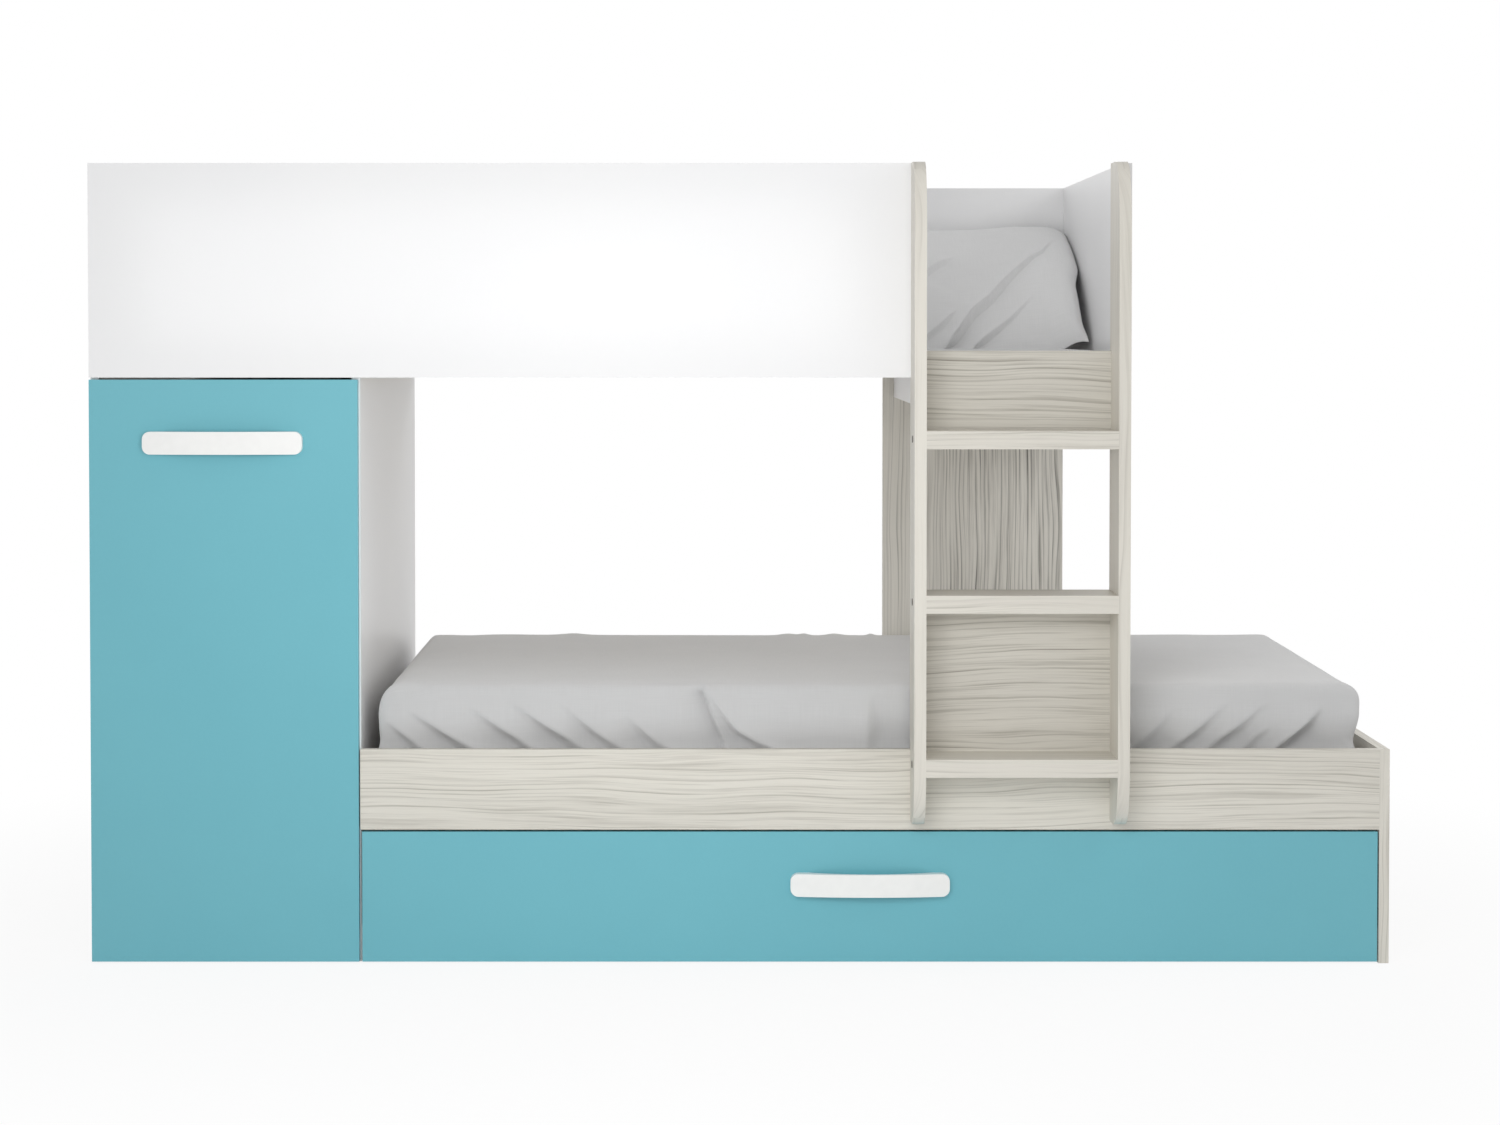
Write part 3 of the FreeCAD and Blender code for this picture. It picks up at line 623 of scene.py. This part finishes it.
# Folds of the lower sheet, on the front unrolled to X and height: the path from its fine end to the rail,
# the side that falls off, the crest, the drop, the share of the usual width and the lead
SHEET_FOLDS = (
    (((-0.675, 0.470), (-0.62, 0.425), (-0.565, 0.375)), 1, 0.006, 0.044, 1.0, 0.6),
    (((-0.635, 0.492), (-0.54, 0.430), (-0.450, 0.365)), 1, 0.008, 0.058, 1.1, 0.6),
    (((-0.520, 0.498), (-0.42, 0.430), (-0.345, 0.370)), 1, 0.008, 0.056, 1.1, 0.6),
    (((-0.440, 0.505), (-0.34, 0.440), (-0.245, 0.370)), 1, 0.008, 0.060, 1.1, 0.6),
    (((-0.345, 0.505), (-0.26, 0.435), (-0.175, 0.370)), 1, 0.006, 0.046, 1.1, 0.6),
    (((-0.220, 0.482), (-0.16, 0.425), (-0.090, 0.370)), 1, 0.005, 0.042, 1.1, 0.6),
    (((-0.074, 0.545), (-0.065, 0.515), (-0.050, 0.47), (-0.030, 0.42), (-0.015, 0.36)),
     1, 0.008, 0.040, 0.4, 0.2),
    (((-0.075, 0.560), (-0.046, 0.498), (-0.003, 0.444), (0.066, 0.40), (0.110, 0.37)),
     1, 0.009, 0.046, 0.8, 0.6),
    (((0.240, 0.520), (0.236, 0.46), (0.232, 0.36)), -1, 0.003, 0.026, 1.6, 0.5),
    (((0.820, 0.500), (0.77, 0.44), (0.700, 0.365)), -1, 0.005, 0.030, 1.2, 0.6),
    (((0.930, 0.515), (0.86, 0.45), (0.770, 0.365)), -1, 0.007, 0.040, 1.2, 0.6),
    (((1.000, 0.510), (0.92, 0.44), (0.845, 0.370)), -1, 0.007, 0.046, 1.2, 0.6),
    (((1.015, 0.465), (0.97, 0.425), (0.920, 0.370)), -1, 0.005, 0.030, 1.1, 0.6),
    (((1.100, 0.495), (1.04, 0.43), (0.985, 0.370)), -1, 0.012, 0.042, 0.8, 0.4),
)
# Wrinkle on top of the lower sheet, in X and Y, with its crest and drop
TOP_WRINKLE = ((-0.30, 0.0), (-0.18, -0.03), (-0.06, -0.085))
WRINKLE_CREST, WRINKLE_DROP = 0.002, 0.0015
# Puckers along the sheet's back edge: where in X and how wide, and their height and reach
BACK_PUCKERS = ((-0.36, 0.03), (0.11, 0.022), (0.145, 0.012), (0.21, 0.02), (0.29, 0.008))
PUCKER_HEIGHT, PUCKER_INSET, PUCKER_REACH = 0.004, 0.02, 0.03
# How far below the box's top the forms of the upper side start and are whole
TOP_FROM, TOP_TO = 0.06, 0.02
# Depth from the front that the folds reach, and the length over which they fade there
FOLD_DEPTH, FOLD_FADE = 0.25, 0.1
# The sheet's unevenness: the seed, count, longest wave and size of its waves, and the share of it
# that is left further back
SHEET_WAVES = (5, 9, 0.42, 0.0030)
CALM_SHARE = 0.15
# Level of the rail's top, and how far below it the folds start and are whole
RAIL_TOP = 0.405
FREE_FROM, FREE_TO = 0.045, 0.005
# Level from which the sheet is drawn in towards the rail, how far, along X and Y, and over what lengths
DRAW_TOP = 0.465
DRAW_IN = (0.008, 0.016)
DRAW_LENGTH_X, DRAW_DEPTH, DRAW_FADE = 0.6, 0.12, 0.1
# How far the sheet may stand out of its CAD box, and how far where the rail holds it
PROUD = 0.006
TUCKED_PROUD = 0.002


def crease_lower_sheet(obj, node):
    """Folds where the sheet is tucked in behind the rail, a wrinkle on top and puckers along the back."""
    low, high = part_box(node)
    points = points_of(obj.data)
    front = np.stack((points[:, 0], points[:, 2] + points[:, 1] - low.y), axis=1)
    forward = smooth_step(low.y + FOLD_DEPTH - points[:, 1], 0, FOLD_FADE)
    free = smooth_step(points[:, 2], RAIL_TOP - FREE_FROM, RAIL_TOP - FREE_TO)
    raised = waves(front, *SHEET_WAVES) * (CALM_SHARE + (1 - CALM_SHARE) * forward)
    for path, side, crest, drop, width, lead in SHEET_FOLDS:
        raised += fold(front, path, side, crest, drop, SHEET_LENGTHS * width, lead) * forward * free
    upper = smooth_step(points[:, 2], high.z - TOP_FROM, high.z - TOP_TO)
    raised += fold(points[:, :2], TOP_WRINKLE, 1, WRINKLE_CREST, WRINKLE_DROP, SHEET_LENGTHS,
                   lead=0.4, tail=0.4) * upper
    back = np.exp(-((points[:, 1] - high.y + PUCKER_INSET) / PUCKER_REACH) ** 2) * upper
    for x, width in BACK_PUCKERS:
        raised += PUCKER_HEIGHT * np.exp(-((points[:, 0] - x) / width) ** 2) * back
    points += normals_of(obj.data) * raised[:, None]
    draw = smooth_step(DRAW_TOP - points[:, 2], 0, DRAW_TOP - RAIL_TOP) * free
    points[:, 0] -= draw * smooth_step(points[:, 0], high.x - DRAW_LENGTH_X, high.x) * DRAW_IN[0]
    points[:, 1] += draw * smooth_step(low.y + DRAW_DEPTH - points[:, 1], 0, DRAW_FADE) * DRAW_IN[1]
    tucked = points[:, 2] < RAIL_TOP
    points[tucked, 1] = np.maximum(points[tucked, 1], low.y - TUCKED_PROUD)
    set_points(obj.data, np.clip(points, np.array(low) - PROUD, np.array(high) + PROUD))


lower_mattress = mattress(
    "lower_mattress_in_sheet", "lower_mattress", cells=(0.010, 0.022),
    front_radius=(0.045, 0.014, 0.015), back_radius=(0.022, 0.008, 0.010), end_drops=(0.060, 0.034),
    trims=((0.014, 0.003, 0.0), (0.003, 0.003, -0.006)), cap=0.006)
crease_lower_sheet(lower_mattress, "lower_mattress")
upper_mattress = mattress(
    "upper_mattress_in_sheet", "upper_mattress", cells=(0.02, 0.02),
    front_radius=(0.05, 0.045, 0.014), back_radius=(0.05, 0.045, 0.014), end_drops=(0.016, 0.016),
    trims=((0.003, 0.003, 0.002), (0.003, 0.003, 0.002)), cap=0.003)
settle(lower_mattress, "lower_mattress", "frame", "mattress_fabric")
settle(upper_mattress, "upper_mattress", "frame", "mattress_fabric")


# Pillow: its half length and half width to the corners, and how far its upper and under cloth stand off
PILLOW_HALF = (0.338, 0.281)
PILLOW_TOP = 0.060
PILLOW_UNDER = 0.052
# Powers of its crown along X and Y and of the whole, and how far its sides draw in between the corners
CROWN_X, CROWN_Y, CROWN_ALL = 3.2, 2.4, 0.5
PILLOW_DRAWN = (0.075, 0.035)
# Cell of its mesh, how far the simulation may move it, and how sharp its seam is
PILLOW_CELL = 0.011
PILLOW_CAP = 0.009
SEAM_CREASE = 0.75
# Its lean, and how far its end at the panel rises in the middle and at the upper corner
PILLOW_TILT = math.radians(24)
END_RISE, CORNER_RISE = 0.042, 0.006
# How far its lower side sags, the share of that which its corner at the panel keeps up, and how far that
# end stands away from the panel
SAG, CORNER_SHARE, PANEL_AWAY = 0.038, 0.8, 0.015
# Gap between its CAD box and the end panel that it leans against
PANEL_GAP = 0.0058
# Its unevenness: the seed, count, longest wave and size of its waves
PILLOW_WAVES = (11, 8, 0.3, 0.003)
# Folds of its upper cloth, in its own flat frame: path, side that falls off, crest, drop, width and lead
PILLOW_FOLDS = (
    (((0.300, 0.12), (0.252, 0.001), (0.204, -0.061), (0.157, -0.118), (0.128, -0.155), (0.094, -0.185),
      (0.062, -0.226), (0.031, -0.258), (0.00, -0.29)), -1, 0.010, 0.019, 1.0, 0.8),
    (((0.110, -0.170), (0.062, -0.226), (0.031, -0.258), (-0.02, -0.31)), -1, 0.002, 0.020, 1.0, 0.7),
    (((0.235, -0.14), (0.212, -0.162), (0.174, -0.198), (0.143, -0.220), (0.113, -0.239), (0.077, -0.266),
      (0.04, -0.29)), -1, 0.008, 0.016, 0.9, 0.8),
    (((0.070, 0.00), (0.030, -0.045), (-0.020, -0.10)), -1, 0.005, 0.008, 1.0, 0.4),
    (((0.065, -0.18), (0.020, -0.22), (-0.040, -0.26)), -1, 0.005, 0.008, 1.0, 0.4),
    (((-0.06, 0.12), (-0.14, -0.06), (-0.20, -0.22), (-0.23, -0.28)), 1, 0.007, 0.014, 1.0, 0.4),
    (((-0.21, 0.02), (-0.25, -0.12), (-0.29, -0.26)), 1, 0.005, 0.012, 1.0, 0.4),
)


def pillow_case(name):
    """Two crowned layers of cloth that share one seam; its free sides draw in between the corners."""
    half = PILLOW_HALF
    stops = [even(-size, size, PILLOW_CELL) for size in half]
    counts = [len(row) for row in stops]
    x, y = (grid.ravel() for grid in np.meshgrid(*stops, indexing="ij"))
    u, v = abs(x / half[0]), abs(y / half[1])
    crown = ((1 - u ** CROWN_X) * (1 - v ** CROWN_Y)) ** CROWN_ALL
    drawn_x = x * (1 - PILLOW_DRAWN[0] * (1 - v ** 2) * (x < 0))
    drawn_y = y * (1 - PILLOW_DRAWN[1] * (1 - u ** 2))
    upper = np.stack((drawn_x, drawn_y, crown * PILLOW_TOP), axis=1)
    under = np.stack((drawn_x, drawn_y, -crown * PILLOW_UNDER), axis=1)
    cells = np.arange(len(x)).reshape(counts)
    inside = crown > 0
    twin = np.where(inside, len(x) + np.cumsum(inside) - 1, np.arange(len(x))).reshape(counts)
    top_quads = np.stack((cells[:-1, :-1], cells[1:, :-1], cells[1:, 1:], cells[:-1, 1:]), axis=-1)
    low_quads = np.stack((twin[:-1, :-1], twin[:-1, 1:], twin[1:, 1:], twin[1:, :-1]), axis=-1)
    points = np.concatenate((upper, under[inside]))
    quads = np.concatenate((top_quads.reshape(-1, 4), low_quads.reshape(-1, 4)))
    obj = new_piece(name, points, quads.tolist(), points[quads.ravel(), :2])
    seam = obj.data.attributes.new("crease_edge", "FLOAT", "EDGE")
    rim = set(np.flatnonzero(~inside).tolist())
    for edge, sharp in zip(obj.data.edges, seam.data):
        sharp.value = SEAM_CREASE if set(edge.vertices) <= rim else 0.0
    return obj


def crease_pillow(obj):
    """Folds of the upper cloth, and a soft unevenness of both."""
    points = points_of(obj.data)
    flat = points[:, :2]
    raised = waves(flat, *PILLOW_WAVES)
    upper = smooth_step(points[:, 2], 0.0, 0.02)
    for path, side, crest, drop, width, lead in PILLOW_FOLDS:
        raised += fold(flat, path, side, crest, drop, PILLOW_LENGTHS * width, lead) * upper
    set_points(obj.data, points + normals_of(obj.data) * raised[:, None])


def lean_pillow(obj, node):
    """Leans the pillow in its corner; it lies flat on the mattress and against the panels."""
    low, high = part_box(node)
    points = points_of(obj.data)
    u, v = points[:, 0] / PILLOW_HALF[0], points[:, 1] / PILLOW_HALF[1]
    end = smooth_step(u, 0.3, 1.0)
    points[:, 2] += END_RISE * end * np.maximum(0, 1 - v ** 2) + CORNER_RISE * end * smooth_step(v, 0.4, 1.0)
    points = points @ np.array(Matrix.Rotation(PILLOW_TILT, 3, "X")).T + np.array((low + high) / 2)
    sag = smooth_step(-v, 0.1, 1.0) * (1 - CORNER_SHARE * smooth_step(u, 0.72, 0.95))
    points[:, 2] -= SAG * sag
    points = np.clip(points, np.array(low), np.array(high) + np.array((PANEL_GAP, 0.0, 0.0)))
    lower_side = smooth_step(-v, 0.0, 0.35) * (1 - 0.45 * smooth_step(-v, 0.75, 1.0))
    away = lower_side * smooth_step(u, 0.6, 0.95)
    points[:, 0] -= PANEL_AWAY * away
    set_points(obj.data, points)


pillow = pillow_case("pillow_in_case")
swell(pillow, PILLOW_CAP)
subdivide(pillow, levels=2)
crease_pillow(pillow)
lean_pillow(pillow, "pillow")
settle(pillow, "pillow", "frame", "pillow_fabric")


# Floor: its half size, the distances between which its glow grows to white, and the glow near the bed
FLOOR_HALF = 14.0
GLOW_FROM, GLOW_TO = 1.3, 2.4
GLOW_NEAR = 0.88


def floor():
    """A pale floor that keeps a faint shadow near the bed and goes to white further off."""
    mesh = bpy.data.meshes.new("floor")
    corners = [(x * FLOOR_HALF, y * FLOOR_HALF, 0) for x, y in ((-1, -1), (1, -1), (1, 1), (-1, 1))]
    mesh.from_pydata(corners, [], [(0, 1, 2, 3)])
    obj = bpy.data.objects.new("floor", mesh)
    scene.collection.objects.link(obj)
    f = Finish("floor")
    point, x, y, _ = f.coordinate("Object")
    away = f.calc("SQRT", f.plus(f.times(x, x), f.times(y, y)))
    speck = f.remap(f.noise(point, 40.0, 2.0), -0.5, 0.5)
    f.set(Base_Color=f.blend(speck, srgb(245, 245, 245), srgb(240, 240, 241)))
    f.set(Roughness=0.8, Specular_IOR_Level=0.1)
    glow = f.node("ShaderNodeEmission", {"Color": (1, 1, 1, 1), "Strength": 1.0}).outputs[0]
    share = f.remap(away, GLOW_FROM, GLOW_TO, GLOW_NEAR, 1.0)
    path = f.node("ShaderNodeLightPath", {})
    seen = f.calc("MAXIMUM", path.outputs["Is Camera Ray"], path.outputs["Is Glossy Ray"])
    seen = f.calc("MAXIMUM", seen, path.outputs["Is Transmission Ray"])
    share = f.times(share, seen)
    mixed = f.node("ShaderNodeMixShader", {0: share, 1: f.shader.outputs[0], 2: glow}).outputs[0]
    f.tree.links.new(mixed, f.tree.nodes["Material Output"].inputs["Surface"])
    dress(obj, f.material)


def sky(ambient):
    """White to the eye and in reflections, and an even, weaker light on everything else."""
    world = bpy.data.worlds.new("studio")
    scene.world = world
    world.use_nodes = True
    tree = world.node_tree
    path = tree.nodes.new("ShaderNodeLightPath")
    background = tree.nodes["Background"]
    background.inputs["Color"].default_value = (1, 1, 1, 1)
    seen = path.outputs["Is Camera Ray"]
    for other in ("Is Glossy Ray", "Is Transmission Ray"):
        either = tree.nodes.new("ShaderNodeMath")
        either.operation = "MAXIMUM"
        tree.links.new(seen, either.inputs[0])
        tree.links.new(path.outputs[other], either.inputs[1])
        seen = either.outputs[0]
    strength = tree.nodes.new("ShaderNodeMapRange")
    strength.inputs[3].default_value = ambient
    strength.inputs[4].default_value = 1.0
    tree.links.new(seen, strength.inputs[0])
    tree.links.new(strength.outputs[0], background.inputs["Strength"])


# Even light of the sky, and the lamps: name, place, target, width, height, power and whether it shows
# in reflections
AMBIENT = 0.60
LAMPS = (
    ("front", (-0.614, -2.32, 1.341), (-0.614, 0.0, 1.341), 1.81, 0.36, 4.6, True),
    ("centre", (-0.1, -2.3, 1.0), (-0.1, 0.0, 1.0), 1.2, 0.8, 13.0, False),
    ("back", (-0.1, 2.6, 2.2), (-0.1, 0.2, 0.5), 2.6, 0.9, 16.0, True),
    ("right", (2.0, -0.6, 2.0), (1.0, 0.0, 0.5), 1.0, 1.0, 7.0, False),
)


def softbox(name, place, target, width, height, power, reflected):
    """A rectangular lamp at a place, turned to a target."""
    data = bpy.data.lights.new(name, "AREA")
    data.shape = "RECTANGLE"
    data.size = width
    data.size_y = height
    data.energy = power
    lamp = bpy.data.objects.new(name, data)
    lamp.location = place
    lamp.rotation_euler = (Vector(target) - Vector(place)).to_track_quat("-Z", "Y").to_euler()
    lamp.visible_camera = False
    lamp.visible_glossy = reflected
    scene.collection.objects.link(lamp)


def camera():
    data = bpy.data.cameras.new("camera")
    data.sensor_width = CAMERA_SENSOR
    data.lens = CAMERA_LENS
    data.shift_x, data.shift_y = CAMERA_SHIFT
    obj = bpy.data.objects.new("camera", data)
    obj.location = CAMERA_PLACE
    obj.rotation_euler = (math.pi / 2 - CAMERA_TILT, 0.0, 0.0)
    scene.collection.objects.link(obj)
    scene.camera = obj


floor()
sky(AMBIENT)
for lamp_row in LAMPS:
    softbox(*lamp_row)
camera()
scene.view_settings.view_transform = "Standard"
